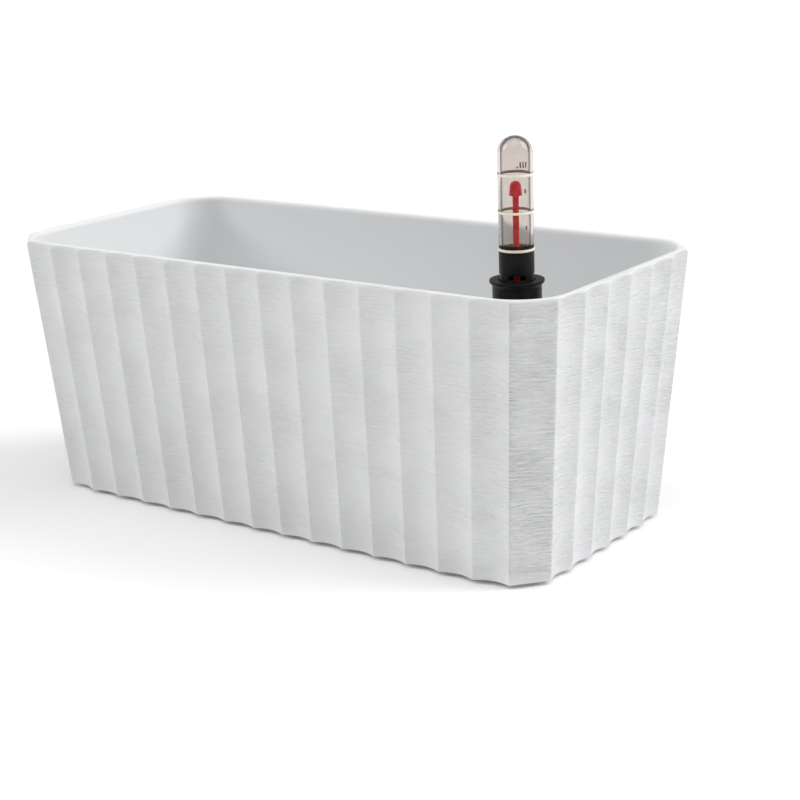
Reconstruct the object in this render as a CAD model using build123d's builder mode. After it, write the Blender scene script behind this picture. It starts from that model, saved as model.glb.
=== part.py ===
from build123d import *
import math
import os

# Self-watering planter: a fluted pot, a perforated tray that keeps the soil above a water
# reservoir, and a float gauge that stands in a sleeve in one corner of the tray.
# Millimetres, +Z up. The origin is the middle of the footprint, on the surface it stands on.

# ---------------------------------------------------------------------------------------
# Driving dimensions
# ---------------------------------------------------------------------------------------

# Pot, over the ridges of the fluting
POT_LENGTH = 280.0
POT_WIDTH = 130.0
POT_HEIGHT = 115.0
BASE_LENGTH = 259.8
BASE_WIDTH = 115.9
TOP_CORNER = 23.8
BASE_CORNER = 21.1

# Fluting: shallow concave flutes between sharp ridges, and one flat facet at each corner
LONG_FLUTES = 15
SHORT_FLUTES = 6
FLUTE_DEPTH = 2.0
CORNER_STEP = math.pi / 4
# Distance round the corner from its middle to the first ridge of each side
TOP_HALF_FACET = 9.2
BASE_HALF_FACET_LONG = 6.8
BASE_HALF_FACET_SHORT = 10.6

# Rim, wall and floor
WALL = 5.0
RIM_BEVEL = 2.4
RIM_INSET = 0.9
RIM_FLUTE_DEPTH = 0.4
RIM_LIP = 1.4
RIM_LIP_HEIGHT = 2.5
SHOULDER = POT_HEIGHT - RIM_BEVEL
CAVITY_CORNER = 19.0
FLOOR_TOP = 5.0

# The wall stops short of the ground, and a narrower foot ring carries the pot
FOOT_HEIGHT = 1.6
FOOT_INSET = 6.0
FOOT_WIDTH = 3.0

# Drain hole and its push-in plug
DRAIN_X = -96.0
DRAIN_RADIUS = 6.0
PUSH_FIT = 0.05
PLUG_HEAD_RADIUS = 9.0
PLUG_HEAD = 1.2
PLUG_STEM = 5.0
PLUG_LEAD_IN = 1.0
PLUG_SLOT = 2.0

# Tray
TRAY_UNDERSIDE = 42.0
TRAY_PLATE = 2.4
TRAY_GAP = 1.0
TRAY_LIP_HEIGHT = 4.0
TRAY_LIP = 1.8
TRAY_TOP = TRAY_UNDERSIDE + TRAY_PLATE
LEG_TOP_RADIUS = 8.0
LEG_FOOT_RADIUS = 5.5
LEG_WALL = 1.5
LEG_COLUMNS = (-112.0, -21.0, 70.0)
LEG_Y = 37.0
FAR_LEG = (112.0, 33.0)
RIB_Y = 25.0
RIB_DEPTH = 4.0
RIB_WIDTH = 2.0
RIB_END_GAP = 2.0
SLOT_LENGTH = 11.0
SLOT_WIDTH = 3.0
SLOTS_PER_BAY = 6
SLOT_PITCH_X = (LEG_COLUMNS[1] - LEG_COLUMNS[0]) / SLOTS_PER_BAY
SLOT_PITCH_Y = 8.0
SLOT_COLUMNS = 17
SLOT_ROWS = 11
SLOT_MARGIN = 1.0

# Wicking baskets: soil-filled cups that hang through the tray into the water
BASKET_X = (-66.0, 24.0)
BASKET_TOP = (44.4, 30.4)
BASKET_FOOT = (38.0, 24.0)
BASKET_CORNER = 5.0
BASKET_FLANGE = (52.0, 38.0)
BASKET_FLANGE_THICKNESS = 1.6
BASKET_WALL = 1.8
BASKET_BOTTOM = 6.5
BASKET_FIT = 0.4
BASKET_SLOT = 2.4
BASKET_SLOT_HEIGHT = 22.0
BASKET_SLOT_LIFT = 2.0
BASKET_SLOT_PITCH = 7.5
BASKET_LONG_SLOTS = 4
BASKET_SHORT_SLOTS = 3
BASKET_FLOOR_SLOT = 14.0

# Gauge, turned about one upright axis. Its upper tube stands on the tray inside the sleeve,
# and its narrower cage hangs through the tray's hole, clear of the pot's floor
GAUGE_X = 105.0
GAUGE_Y = -26.0
GAUGE_RADIUS = 6.75
GAUGE_BORE = 5.65
SLEEVE_RADIUS = 9.45
SLEEVE_BORE = 7.9
SLEEVE_FLANGE_RADIUS = 10.55
SLEEVE_FLANGE = 1.0
SLEEVE_FLARE = 1.2
SLEEVE_TOP = 114.0
SLEEVE_GUIDE = 7.1
SLEEVE_GUIDE_HEIGHT = 2.5
BOSS_RADIUS = 12.6
BOSS_HEIGHT = 8.0
BOSS_GAP = 0.3
TRAY_HOLE = 6.5
CAGE_RADIUS = 6.2
SOCKET_DEPTH = 6.0
SOCKET_END_GAP = 0.2
BODY_TOP = 125.2
WINDOW_HEIGHT = 2.0
WINDOW_WIDTH = 6.4
WINDOW_CENTRE = 115.3
WINDOW_COUNT = 4
WINDOW_TURN = -57.0
DOME_TOP = 168.4
DOME_WALL = 1.1
DOME_SKIRT_BOTTOM = 119.0
DOME_SHOULDER_TAPER = 1.2
RING_HEIGHT = 1.0
RING_OUTER = 7.0
RING_INNER = 6.45
MID_RING = 140.0
MAX_RING = 154.1
GUIDE_BOTTOM = 116.8
GUIDE_THICKNESS = 2.1
GUIDE_HOLE = 1.6
GAUGE_FOOT = FLOOR_TOP + 0.8
END_CAP = 1.6
END_CAP_PLUG = 0.8
INLET_RADIUS = 1.0
INLET_CIRCLE = 3.4
INLET_COUNT = 4
CAGE_SLOT = 3.0
CAGE_SLOT_BOTTOM = 12.0
CAGE_SLOT_TOP = 38.0
CAGE_SLOT_PAIRS = 3

# Float, its rod and the red head that is read through the dome
ROD_RADIUS = 1.2
ROD_SOCKET = 1.25
HEAD_BOTTOM = 146.0
HEAD_TOP = 151.5
HEAD_RADIUS = 2.15
HEAD_FOOT_RADIUS = 2.45
HEAD_SOCKET_DEPTH = 2.8
FLOAT_BOTTOM = 33.9
FLOAT_LENGTH = 18.0
FLOAT_RADIUS = 5.2
FLOAT_EDGE = 0.8
CLIP_RADIUS = 2.8
CLIP_HEIGHT = 1.6
CLIP_FLOOR = 0.5


# ---------------------------------------------------------------------------------------
# Shared geometry
# ---------------------------------------------------------------------------------------


def between(base, top, height):
    """Value at a height of something that changes evenly from the base to the shoulder."""
    return base + (top - base) * min(height / SHOULDER, 1)


def half_sizes(height):
    """Half length and half width over the ridges at a height."""
    return (
        between(BASE_LENGTH, POT_LENGTH, height) / 2,
        between(BASE_WIDTH, POT_WIDTH, height) / 2,
    )


def path_point(travel, half_long, half_short, corner):
    """Point on a rounded rectangle, travelled along its -Y side from one corner's middle."""
    quarter = CORNER_STEP * corner
    straight = 2 * (half_long - corner)
    if travel < quarter:
        angle = CORNER_STEP + travel / corner
        x = -half_long + corner - corner * math.cos(angle)
        return x, -half_short + corner - corner * math.sin(angle)
    if travel < quarter + straight:
        return -half_long + corner + travel - quarter, -half_short
    angle = (travel - quarter - straight) / corner
    x = half_long - corner + corner * math.sin(angle)
    return x, -half_short + corner - corner * math.cos(angle)


def side_ridges(half_long, half_short, corner, half_facet, flutes):
    """Ridges of the -Y side of a rounded rectangle: one more than it has flutes."""
    length = 2 * (half_long - corner) + 2 * CORNER_STEP * corner
    pitch = (length - 2 * half_facet) / flutes
    return [
        path_point(half_facet + pitch * index, half_long, half_short, corner)
        for index in range(flutes + 1)
    ]


def ridge_sides(height, inset):
    """Ridges of the four walls at a height, in order round the pot."""
    half_length, half_width = half_sizes(height)
    half_length -= inset
    half_width -= inset
    corner = between(BASE_CORNER, TOP_CORNER, height) - inset
    long_facet = between(BASE_HALF_FACET_LONG, TOP_HALF_FACET, height)
    short_facet = between(BASE_HALF_FACET_SHORT, TOP_HALF_FACET, height)
    front = side_ridges(half_length, half_width, corner, long_facet, LONG_FLUTES)
    end = side_ridges(half_width, half_length, corner, short_facet, SHORT_FLUTES)
    right = [(-y, x) for x, y in end]
    back = [(-x, -y) for x, y in front]
    left = [(-x, -y) for x, y in right]
    return front, right, back, left


def flute_bottom(start, end, depth):
    """Deepest point of the flute between two ridges."""
    run_x = end[0] - start[0]
    run_y = end[1] - start[1]
    pitch = math.hypot(run_x, run_y)
    middle_x = (start[0] + end[0]) / 2 - run_y / pitch * depth
    return middle_x, (start[1] + end[1]) / 2 + run_x / pitch * depth


def fluted_face(height, inset=0.0):
    """Filled outline of the fluted wall at a height; the flutes fade as the inset grows."""
    sides = ridge_sides(height, inset)
    depth = FLUTE_DEPTH + (RIM_FLUTE_DEPTH - FLUTE_DEPTH) * inset / RIM_INSET
    with BuildSketch(Plane.XY.offset(height)) as face:
        with BuildLine():
            for index, side in enumerate(sides):
                for start, end in zip(side, side[1:]):
                    ThreePointArc(start, flute_bottom(start, end, depth), end)
                Line(side[-1], sides[(index + 1) % len(sides)][0])
        make_face()
    return face.sketch


def cavity_face(height, inset=0.0):
    """Filled outline of the smooth inner wall at a height, drawn in by an inset."""
    half_length, half_width = half_sizes(height)
    shrink = WALL + inset
    with BuildSketch(Plane.XY.offset(height)) as face:
        RectangleRounded(
            2 * (half_length - shrink), 2 * (half_width - shrink), CAVITY_CORNER - inset
        )
    return face.sketch


def cup_face(size, corner, height, centre_x):
    """Filled rounded rectangle of a wicking basket at a height."""
    with BuildSketch(Plane((centre_x, 0, height))) as face:
        RectangleRounded(size[0], size[1], corner)
    return face.sketch


def shrunk(size, amount):
    """A length and width, each smaller by twice an amount."""
    return size[0] - 2 * amount, size[1] - 2 * amount


def spread(count, pitch):
    """Evenly pitched places centred on zero."""
    return [(step - (count - 1) / 2) * pitch for step in range(count)]


GAUGE_PLANE = Plane(origin=(GAUGE_X, GAUGE_Y, 0), x_dir=(1, 0, 0), z_dir=(0, -1, 0))
GAUGE_AXIS = Axis((GAUGE_X, GAUGE_Y, 0), (0, 0, 1))


def turned(*points):
    """Half section of a turned piece, from (radius, height) corners about the gauge's axis."""
    with BuildSketch(GAUGE_PLANE) as section:
        with BuildLine():
            Polyline(*points, close=True)
        make_face()
    return section.sketch


def tube(inner, outer, low, high):
    """Half section of a plain tube about the gauge's axis."""
    return turned((inner, low), (outer, low), (outer, high), (inner, high))


def on_gauge(height, turn=0.0):
    """A place on the gauge's axis at a height, turned about it."""
    return Location((GAUGE_X, GAUGE_Y, height), (0, 0, turn))


# ---------------------------------------------------------------------------------------
# Pot
# ---------------------------------------------------------------------------------------

with BuildPart() as pot_shell:
    loft(
        [fluted_face(FOOT_HEIGHT), fluted_face(SHOULDER), fluted_face(POT_HEIGHT, RIM_INSET)],
        ruled=True,
    )
    loft(
        [
            cavity_face(FLOOR_TOP),
            cavity_face(POT_HEIGHT - RIM_LIP_HEIGHT),
            cavity_face(POT_HEIGHT, -RIM_LIP),
        ],
        ruled=True,
        mode=Mode.SUBTRACT,
    )
    with BuildSketch(Plane.XY):
        foot_corner = BASE_CORNER - FOOT_INSET
        foot_size = shrunk((BASE_LENGTH, BASE_WIDTH), FOOT_INSET)
        inner_size = shrunk(foot_size, FOOT_WIDTH)
        RectangleRounded(*foot_size, foot_corner)
        RectangleRounded(*inner_size, foot_corner - FOOT_WIDTH, mode=Mode.SUBTRACT)
    extrude(amount=FOOT_HEIGHT)
    with Locations((DRAIN_X, 0, FLOOR_TOP)):
        Hole(radius=DRAIN_RADIUS)

with BuildPart() as drain_plug:
    with BuildSketch(Plane.XY.offset(FOOT_HEIGHT - PLUG_HEAD)):
        with Locations((DRAIN_X, 0)):
            Circle(PLUG_HEAD_RADIUS)
    extrude(amount=PLUG_HEAD)
    with BuildSketch(Plane.XY.offset(FOOT_HEIGHT)):
        with Locations((DRAIN_X, 0)):
            Circle(DRAIN_RADIUS - PUSH_FIT)
    extrude(amount=PLUG_STEM)
    chamfer(drain_plug.faces().sort_by(Axis.Z)[-1].edges(), PLUG_LEAD_IN)
    with Locations((DRAIN_X, 0, FOOT_HEIGHT - PLUG_HEAD)):
        Box(PLUG_HEAD_RADIUS, PLUG_SLOT, PLUG_HEAD, mode=Mode.SUBTRACT)

# ---------------------------------------------------------------------------------------
# Tray
# ---------------------------------------------------------------------------------------

leg_places = [(x, y) for x in LEG_COLUMNS for y in (-LEG_Y, LEG_Y)] + [FAR_LEG]


def keeps_off(x, y, centre, half_x, half_y):
    """True where a drain slot centred at (x, y) stays clear of a rectangle."""
    return (
        abs(x - centre[0]) > half_x + SLOT_LENGTH / 2 + SLOT_MARGIN
        or abs(y - centre[1]) > half_y + SLOT_WIDTH / 2 + SLOT_MARGIN
    )


def inside_lip(x, y):
    """True where a drain slot stays inside the tray's lip, corners included."""
    half_length, half_width = half_sizes(TRAY_TOP)
    margin = WALL + TRAY_GAP + TRAY_LIP + SLOT_MARGIN
    past_x = abs(x) + SLOT_LENGTH / 2 - (half_length - margin - CAVITY_CORNER)
    past_y = abs(y) + SLOT_WIDTH / 2 - (half_width - margin - CAVITY_CORNER)
    return math.hypot(max(past_x, 0), max(past_y, 0)) < CAVITY_CORNER


def slot_centres():
    """Centres of the drain slots, in bays between the cross ribs."""
    obstacles = [(place, LEG_TOP_RADIUS, LEG_TOP_RADIUS) for place in leg_places]
    obstacles += [((x, 0), BASKET_FLANGE[0] / 2, BASKET_FLANGE[1] / 2) for x in BASKET_X]
    obstacles += [((GAUGE_X, GAUGE_Y), BOSS_RADIUS, BOSS_RADIUS)]
    obstacles += [((0, side * RIB_Y), POT_LENGTH, RIB_WIDTH / 2) for side in (-1, 1)]
    first = LEG_COLUMNS[0] - SLOT_PITCH_X / 2
    centres = []
    for column in range(SLOT_COLUMNS):
        for y in spread(SLOT_ROWS, SLOT_PITCH_Y):
            x = first + column * SLOT_PITCH_X
            if inside_lip(x, y) and all(keeps_off(x, y, *obstacle) for obstacle in obstacles):
                centres.append((x, y))
    return centres


with BuildPart() as separator_tray:
    tray_lip_top = TRAY_TOP + TRAY_LIP_HEIGHT
    loft(
        [cavity_face(TRAY_UNDERSIDE, TRAY_GAP), cavity_face(tray_lip_top, TRAY_GAP)],
        ruled=True,
    )
    loft(
        [
            cavity_face(TRAY_TOP, TRAY_GAP + TRAY_LIP),
            cavity_face(tray_lip_top, TRAY_GAP + TRAY_LIP),
        ],
        ruled=True,
        mode=Mode.SUBTRACT,
    )
    # Stiffening ribs under the plate: two along it, and one across at each pair of legs
    rib_middle = TRAY_UNDERSIDE - RIB_DEPTH / 2
    rib_starts = LEG_COLUMNS[0]
    for side, rib_ends in ((1, FAR_LEG[0]), (-1, GAUGE_X - BOSS_RADIUS - RIB_END_GAP)):
        with Locations(((rib_starts + rib_ends) / 2, side * RIB_Y, rib_middle)):
            Box(rib_ends - rib_starts, RIB_WIDTH, RIB_DEPTH)
    with Locations(*[(x, 0, rib_middle) for x in LEG_COLUMNS]):
        Box(RIB_WIDTH, 2 * RIB_Y, RIB_DEPTH)
    # Socket that holds the gauge's sleeve
    with Locations((GAUGE_X, GAUGE_Y, TRAY_TOP)):
        Cylinder(BOSS_RADIUS, BOSS_HEIGHT, align=(Align.CENTER, Align.CENTER, Align.MIN))
        Cylinder(
            SLEEVE_RADIUS + BOSS_GAP,
            BOSS_HEIGHT,
            align=(Align.CENTER, Align.CENTER, Align.MIN),
            mode=Mode.SUBTRACT,
        )
    with Locations((GAUGE_X, GAUGE_Y, TRAY_TOP)):
        Hole(radius=TRAY_HOLE, depth=TRAY_PLATE)
    # Tapered legs, hollow from below
    upright = (Align.CENTER, Align.CENTER, Align.MIN)
    leg_height = TRAY_UNDERSIDE - FLOOR_TOP
    with Locations(*[(x, y, FLOOR_TOP) for x, y in leg_places]):
        Cone(LEG_FOOT_RADIUS, LEG_TOP_RADIUS, leg_height, align=upright)
        Cone(
            LEG_FOOT_RADIUS - LEG_WALL,
            LEG_TOP_RADIUS - LEG_WALL,
            leg_height,
            align=upright,
            mode=Mode.SUBTRACT,
        )
    # Openings for the baskets, and the drain slots
    with BuildSketch(Plane.XY.offset(TRAY_TOP)):
        opening = shrunk(BASKET_TOP, -BASKET_FIT)
        with Locations(*[(x, 0) for x in BASKET_X]):
            RectangleRounded(opening[0], opening[1], BASKET_CORNER)
        with Locations(*slot_centres()):
            SlotOverall(SLOT_LENGTH, SLOT_WIDTH)
    extrude(amount=-TRAY_PLATE, mode=Mode.SUBTRACT)


def make_basket(centre_x):
    """Slotted cup with a flange that rests on the tray."""
    rim = TRAY_TOP + BASKET_FLANGE_THICKNESS
    floor = BASKET_BOTTOM + BASKET_WALL
    with BuildPart() as basket:
        loft(
            [
                cup_face(BASKET_FOOT, BASKET_CORNER, BASKET_BOTTOM, centre_x),
                cup_face(BASKET_TOP, BASKET_CORNER, TRAY_TOP, centre_x),
            ],
            ruled=True,
        )
        with BuildSketch(Plane((centre_x, 0, TRAY_TOP))):
            RectangleRounded(*BASKET_FLANGE, BASKET_CORNER)
        extrude(amount=BASKET_FLANGE_THICKNESS)
        inner_corner = BASKET_CORNER - BASKET_WALL
        loft(
            [
                cup_face(shrunk(BASKET_FOOT, BASKET_WALL), inner_corner, floor, centre_x),
                cup_face(shrunk(BASKET_TOP, BASKET_WALL), inner_corner, rim, centre_x),
            ],
            ruled=True,
            mode=Mode.SUBTRACT,
        )
        # Upright slots through the long and short walls, and slots in the floor
        slot_middle = floor + BASKET_SLOT_LIFT + BASKET_SLOT_HEIGHT / 2
        long_places = spread(BASKET_LONG_SLOTS, BASKET_SLOT_PITCH)
        short_places = spread(BASKET_SHORT_SLOTS, BASKET_SLOT_PITCH)
        through_width = 2 * BASKET_TOP[1]
        through_length = 2 * BASKET_TOP[0]
        through_floor = 3 * BASKET_WALL
        with Locations(*[(centre_x + place, 0, slot_middle) for place in long_places]):
            Box(BASKET_SLOT, through_width, BASKET_SLOT_HEIGHT, mode=Mode.SUBTRACT)
        with Locations(*[(centre_x, place, slot_middle) for place in short_places]):
            Box(through_length, BASKET_SLOT, BASKET_SLOT_HEIGHT, mode=Mode.SUBTRACT)
        with Locations(*[(centre_x + place, 0, floor) for place in long_places]):
            Box(BASKET_SLOT, BASKET_FLOOR_SLOT, through_floor, mode=Mode.SUBTRACT)
    return basket


# ---------------------------------------------------------------------------------------
# Gauge
# ---------------------------------------------------------------------------------------

with BuildPart() as gauge_sleeve:
    flange_bottom = SLEEVE_TOP - SLEEVE_FLANGE
    revolve(
        turned(
            (SLEEVE_BORE, TRAY_TOP),
            (SLEEVE_RADIUS, TRAY_TOP),
            (SLEEVE_RADIUS, flange_bottom - SLEEVE_FLARE),
            (SLEEVE_FLANGE_RADIUS, flange_bottom),
            (SLEEVE_FLANGE_RADIUS, SLEEVE_TOP),
            (SLEEVE_GUIDE, SLEEVE_TOP),
            (SLEEVE_GUIDE, SLEEVE_TOP - SLEEVE_GUIDE_HEIGHT),
            (SLEEVE_BORE, SLEEVE_TOP - SLEEVE_GUIDE_HEIGHT),
        ),
        axis=GAUGE_AXIS,
    )

with BuildPart() as gauge_body:
    socket = CAGE_RADIUS + PUSH_FIT
    socket_top = TRAY_TOP + SOCKET_DEPTH + SOCKET_END_GAP
    window_step = 360 / WINDOW_COUNT
    revolve(
        turned(
            (socket, TRAY_TOP),
            (GAUGE_RADIUS, TRAY_TOP),
            (GAUGE_RADIUS, BODY_TOP),
            (GAUGE_BORE, BODY_TOP),
            (GAUGE_BORE, socket_top),
            (socket, socket_top),
        ),
        axis=GAUGE_AXIS,
    )
    with Locations(
        *[
            on_gauge(WINDOW_CENTRE, WINDOW_TURN + window_step * index)
            for index in range(WINDOW_COUNT)
        ]
    ):
        Box(
            2 * GAUGE_RADIUS,
            WINDOW_WIDTH,
            WINDOW_HEIGHT,
            align=(Align.MIN, Align.CENTER, Align.CENTER),
            mode=Mode.SUBTRACT,
        )

with BuildPart() as gauge_dome:
    skirt_radius = GAUGE_BORE - PUSH_FIT
    bore = GAUGE_RADIUS - DOME_WALL
    crown = DOME_TOP - GAUGE_RADIUS
    shoulder = BODY_TOP + RING_HEIGHT
    half_angle = math.radians(45)
    with BuildSketch(GAUGE_PLANE):
        with BuildLine():
            Polyline(
                (skirt_radius - DOME_WALL, DOME_SKIRT_BOTTOM),
                (skirt_radius, DOME_SKIRT_BOTTOM),
                (skirt_radius, shoulder),
                (GAUGE_RADIUS, shoulder),
                (GAUGE_RADIUS, crown),
            )
            ThreePointArc(
                (GAUGE_RADIUS, crown),
                (GAUGE_RADIUS * math.cos(half_angle), crown + GAUGE_RADIUS * math.sin(half_angle)),
                (0, DOME_TOP),
            )
            Line((0, DOME_TOP), (0, DOME_TOP - DOME_WALL))
            ThreePointArc(
                (0, DOME_TOP - DOME_WALL),
                (bore * math.cos(half_angle), crown + bore * math.sin(half_angle)),
                (bore, crown),
            )
            Polyline(
                (bore, crown),
                (bore, shoulder + DOME_SHOULDER_TAPER),
                (skirt_radius - DOME_WALL, shoulder),
                (skirt_radius - DOME_WALL, DOME_SKIRT_BOTTOM),
            )
        make_face()
    revolve(axis=GAUGE_AXIS)
    # Grooves that seat the two upper level rings
    for ring_middle in (MID_RING, MAX_RING):
        low = ring_middle - RING_HEIGHT / 2
        revolve(
            tube(RING_INNER - PUSH_FIT, RING_OUTER, low, low + RING_HEIGHT),
            axis=GAUGE_AXIS,
            mode=Mode.SUBTRACT,
        )


def make_ring(inner, low):
    """Cream band that marks a water level."""
    with BuildPart() as ring:
        revolve(tube(inner, RING_OUTER, low, low + RING_HEIGHT), axis=GAUGE_AXIS)
    return ring


with BuildPart() as rod_guide:
    revolve(
        tube(GUIDE_HOLE, GAUGE_BORE - PUSH_FIT, GUIDE_BOTTOM, GUIDE_BOTTOM + GUIDE_THICKNESS),
        axis=GAUGE_AXIS,
    )

with BuildPart() as float_cage:
    cage_bottom = GAUGE_FOOT + END_CAP
    cage_top = TRAY_TOP + SOCKET_DEPTH
    revolve(tube(GAUGE_BORE, CAGE_RADIUS, cage_bottom, cage_top), axis=GAUGE_AXIS)
    slot_span = CAGE_SLOT_TOP - CAGE_SLOT_BOTTOM
    slot_middle = CAGE_SLOT_BOTTOM + slot_span / 2
    slot_step = 180 / CAGE_SLOT_PAIRS
    with Locations(*[on_gauge(slot_middle, slot_step * pair) for pair in range(CAGE_SLOT_PAIRS)]):
        Box(4 * GAUGE_RADIUS, CAGE_SLOT, slot_span, mode=Mode.SUBTRACT)

with BuildPart() as cage_end_cap:
    cap_top = GAUGE_FOOT + END_CAP
    revolve(
        turned(
            (0, GAUGE_FOOT),
            (CAGE_RADIUS, GAUGE_FOOT),
            (CAGE_RADIUS, cap_top),
            (GAUGE_BORE - PUSH_FIT, cap_top),
            (GAUGE_BORE - PUSH_FIT, cap_top + END_CAP_PLUG),
            (0, cap_top + END_CAP_PLUG),
        ),
        axis=GAUGE_AXIS,
    )
    # Water inlets
    with Locations(on_gauge(cap_top + END_CAP_PLUG)):
        with PolarLocations(INLET_CIRCLE, INLET_COUNT):
            Hole(radius=INLET_RADIUS)

# ---------------------------------------------------------------------------------------
# Float unit
# ---------------------------------------------------------------------------------------

with BuildPart() as indicator_rod:
    revolve(
        turned(
            (0, FLOAT_BOTTOM - CLIP_HEIGHT + CLIP_FLOOR),
            (ROD_RADIUS, FLOAT_BOTTOM - CLIP_HEIGHT + CLIP_FLOOR),
            (ROD_RADIUS, HEAD_BOTTOM + HEAD_SOCKET_DEPTH),
            (0, HEAD_BOTTOM + HEAD_SOCKET_DEPTH),
        ),
        axis=GAUGE_AXIS,
    )

with BuildPart() as indicator_head:
    cheek = HEAD_TOP - HEAD_RADIUS
    with BuildSketch(GAUGE_PLANE):
        with BuildLine():
            Polyline(
                (ROD_SOCKET, HEAD_BOTTOM),
                (HEAD_FOOT_RADIUS, HEAD_BOTTOM),
                (HEAD_RADIUS, cheek),
            )
            ThreePointArc(
                (HEAD_RADIUS, cheek),
                (HEAD_RADIUS * math.cos(half_angle), cheek + HEAD_RADIUS * math.sin(half_angle)),
                (0, HEAD_TOP),
            )
            Polyline(
                (0, HEAD_TOP),
                (0, HEAD_BOTTOM + HEAD_SOCKET_DEPTH),
                (ROD_SOCKET, HEAD_BOTTOM + HEAD_SOCKET_DEPTH),
                (ROD_SOCKET, HEAD_BOTTOM),
            )
        make_face()
    revolve(axis=GAUGE_AXIS)

with BuildPart() as float_body:
    revolve(
        tube(ROD_SOCKET, FLOAT_RADIUS, FLOAT_BOTTOM, FLOAT_BOTTOM + FLOAT_LENGTH),
        axis=GAUGE_AXIS,
    )
    outer_edges = float_body.edges().filter_by(GeomType.CIRCLE).group_by(SortBy.RADIUS)[-1]
    fillet(outer_edges, FLOAT_EDGE)

with BuildPart() as float_clip:
    clip_bottom = FLOAT_BOTTOM - CLIP_HEIGHT
    revolve(
        turned(
            (0, clip_bottom),
            (CLIP_RADIUS, clip_bottom),
            (CLIP_RADIUS, FLOAT_BOTTOM),
            (ROD_SOCKET, FLOAT_BOTTOM),
            (ROD_SOCKET, clip_bottom + CLIP_FLOOR),
            (0, clip_bottom + CLIP_FLOOR),
        ),
        axis=GAUGE_AXIS,
    )

# ---------------------------------------------------------------------------------------
# Labels and files
# ---------------------------------------------------------------------------------------

pieces = {
    "pot_shell": pot_shell,
    "drain_plug": drain_plug,
    "separator_tray": separator_tray,
    "wicking_basket_left": make_basket(BASKET_X[0]),
    "wicking_basket_right": make_basket(BASKET_X[1]),
    "gauge_sleeve": gauge_sleeve,
    "gauge_body": gauge_body,
    "gauge_dome": gauge_dome,
    "level_ring_min": make_ring(GAUGE_BORE, BODY_TOP),
    "level_ring_mid": make_ring(RING_INNER, MID_RING - RING_HEIGHT / 2),
    "level_ring_max": make_ring(RING_INNER, MAX_RING - RING_HEIGHT / 2),
    "rod_guide": rod_guide,
    "float_cage": float_cage,
    "cage_end_cap": cage_end_cap,
    "indicator_rod": indicator_rod,
    "indicator_head": indicator_head,
    "float_body": float_body,
    "float_clip": float_clip,
}

os.makedirs("parts", exist_ok=True)
for name, piece in pieces.items():
    piece.part.label = name
    export_step(piece.part, f"parts/{name}.step")
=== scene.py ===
import math

import bmesh
import bpy
from mathutils import Matrix, Vector


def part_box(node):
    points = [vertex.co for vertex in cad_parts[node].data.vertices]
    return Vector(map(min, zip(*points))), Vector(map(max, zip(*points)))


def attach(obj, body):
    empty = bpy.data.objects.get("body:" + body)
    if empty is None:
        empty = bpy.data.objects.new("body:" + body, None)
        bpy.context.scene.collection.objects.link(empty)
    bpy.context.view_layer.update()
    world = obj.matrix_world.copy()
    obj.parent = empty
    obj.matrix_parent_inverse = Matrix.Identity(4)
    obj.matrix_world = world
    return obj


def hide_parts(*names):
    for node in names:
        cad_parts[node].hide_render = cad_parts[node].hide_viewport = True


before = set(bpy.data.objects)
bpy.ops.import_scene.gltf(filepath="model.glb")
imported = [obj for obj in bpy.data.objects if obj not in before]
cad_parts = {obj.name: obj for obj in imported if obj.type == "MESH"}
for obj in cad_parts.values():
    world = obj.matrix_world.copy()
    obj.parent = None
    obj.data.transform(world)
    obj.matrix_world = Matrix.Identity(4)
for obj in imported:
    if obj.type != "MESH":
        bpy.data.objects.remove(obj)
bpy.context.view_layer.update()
MM = 0.001

# ---------------------------------------------------------------------------------------
# Sizes, in metres; the pot's top, the drain and the gauge places are read from model.glb
# ---------------------------------------------------------------------------------------

_, pot_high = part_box("pot_shell")
TOP_HALF_LENGTH = pot_high.x
TOP_HALF_WIDTH = pot_high.y
POT_HEIGHT = pot_high.z
BASE_HALF_LENGTH = 129.9 * MM
BASE_HALF_WIDTH = 57.95 * MM
TOP_CORNER = 23.8 * MM
BASE_CORNER = 21.1 * MM
TOP_HALF_FACET = 9.2 * MM
BASE_HALF_FACET_LONG = 6.8 * MM
BASE_HALF_FACET_SHORT = 10.6 * MM
LONG_FLUTES = 15
SHORT_FLUTES = 6
FLUTE_DEPTH = 2.0 * MM
RIM_BEVEL = 2.4 * MM
RIM_INSET = 0.9 * MM
RIM_FADE = 0.8
RIM_LIP = 1.4 * MM
RIM_LIP_HEIGHT = 2.5 * MM
SHOULDER = POT_HEIGHT - RIM_BEVEL
WALL = 5.0 * MM
CAVITY_CORNER = 19.0 * MM
FOOT_HEIGHT = 1.6 * MM
FOOT_INSET = 6.0 * MM
FOOT_WIDTH = 3.0 * MM
FOOT_EASE = 0.4 * MM
LOWER_EDGE = 0.6 * MM
FLOOR_TOP = 5.0 * MM
COVE = 0.8 * MM

plug_low, plug_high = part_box("drain_plug")
DRAIN_CENTRE = ((plug_low.x + plug_high.x) / 2, 0.0)
DRAIN_RADIUS = 6.0 * MM

sleeve_low, sleeve_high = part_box("gauge_sleeve")
GAUGE = Vector(((sleeve_low.x + sleeve_high.x) / 2, (sleeve_low.y + sleeve_high.y) / 2, 0))

# ---------------------------------------------------------------------------------------
# Materials
# ---------------------------------------------------------------------------------------


def new_material(name):
    """Empty node material with a Principled shader, and the shader."""
    material = bpy.data.materials.new(name)
    material.use_nodes = True
    return material, material.node_tree, material.node_tree.nodes["Principled BSDF"]


def add_node(tree, kind, settings=None, **inputs):
    """Node of a kind, with its properties set and its inputs given as values or sockets."""
    node = tree.nodes.new(kind)
    for key, value in (settings or {}).items():
        setattr(node, key, value)
    for key, value in inputs.items():
        socket = node.inputs[key.replace("_", " ")]
        if isinstance(value, bpy.types.NodeSocket):
            tree.links.new(value, socket)
        else:
            socket.default_value = value
    return node


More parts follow.
